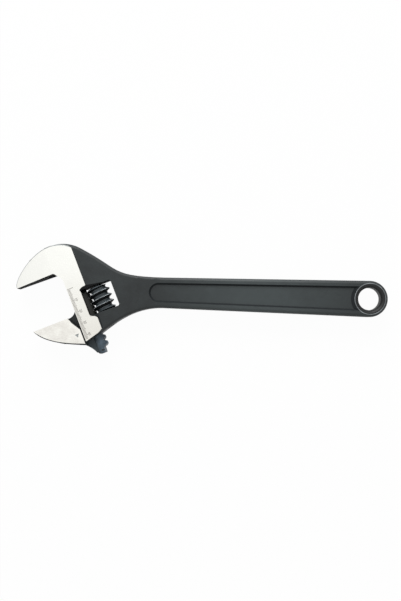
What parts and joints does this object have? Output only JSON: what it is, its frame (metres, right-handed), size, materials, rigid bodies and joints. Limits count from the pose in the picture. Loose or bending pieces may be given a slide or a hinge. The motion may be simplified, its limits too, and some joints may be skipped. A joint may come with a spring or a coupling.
{
  "type": "adjustable wrench",
  "caption": "Adjustable wrench with a fixed and a sliding jaw, driven by a thumb-turned worm, on a tapered forged handle with a hanging hole.",
  "frame": {"origin": "centre of the wrench's bounding box, at its lowest face, where the lower ground flat of the head lies", "axes": "+X along the handle from the head to the hanging hole, +Y from the movable jaw towards the fixed jaw's back, +Z through the thickness, away from the surface the wrench lies on"},
  "size_m": [0.3068, 0.0898, 0.019],
  "materials": {
    "body": "black phosphated forging, satin, with ground bare-steel head flats",
    "movable_jaw": "ground bare-steel jaw flats, blackened web and toothed rail",
    "worm": "blackened machined steel, semi-gloss",
    "worm_pin": "blackened turned steel",
    "worm_spring": "drawn spring wire, oiled"
  },
  "bodies": {
    "body": {"body": "body", "worm_pin": "worm_pin", "worm_spring": "worm_spring"},
    "jaw": {"movable_jaw": "movable_jaw"},
    "worm": {"worm": "worm"}
  },
  "joints": [
    {"name": "jaw_slide", "type": "slide", "parent": "body", "child": "jaw", "axis": [-0.3827, 0.9239, 0], "range_m": [0, 0.0377]},
    {"name": "worm_turn", "type": "hinge", "parent": "body", "child": "worm", "pos_m": [-0.08387, 0.00185, 0.0095], "axis": [-0.3827, 0.9239, 0], "range_deg": [-2615, 0]}
  ],
  "couplings": [
    {"joint": "worm_turn", "follows": "jaw_slide", "rad_per_m": -1208.3}
  ]
}
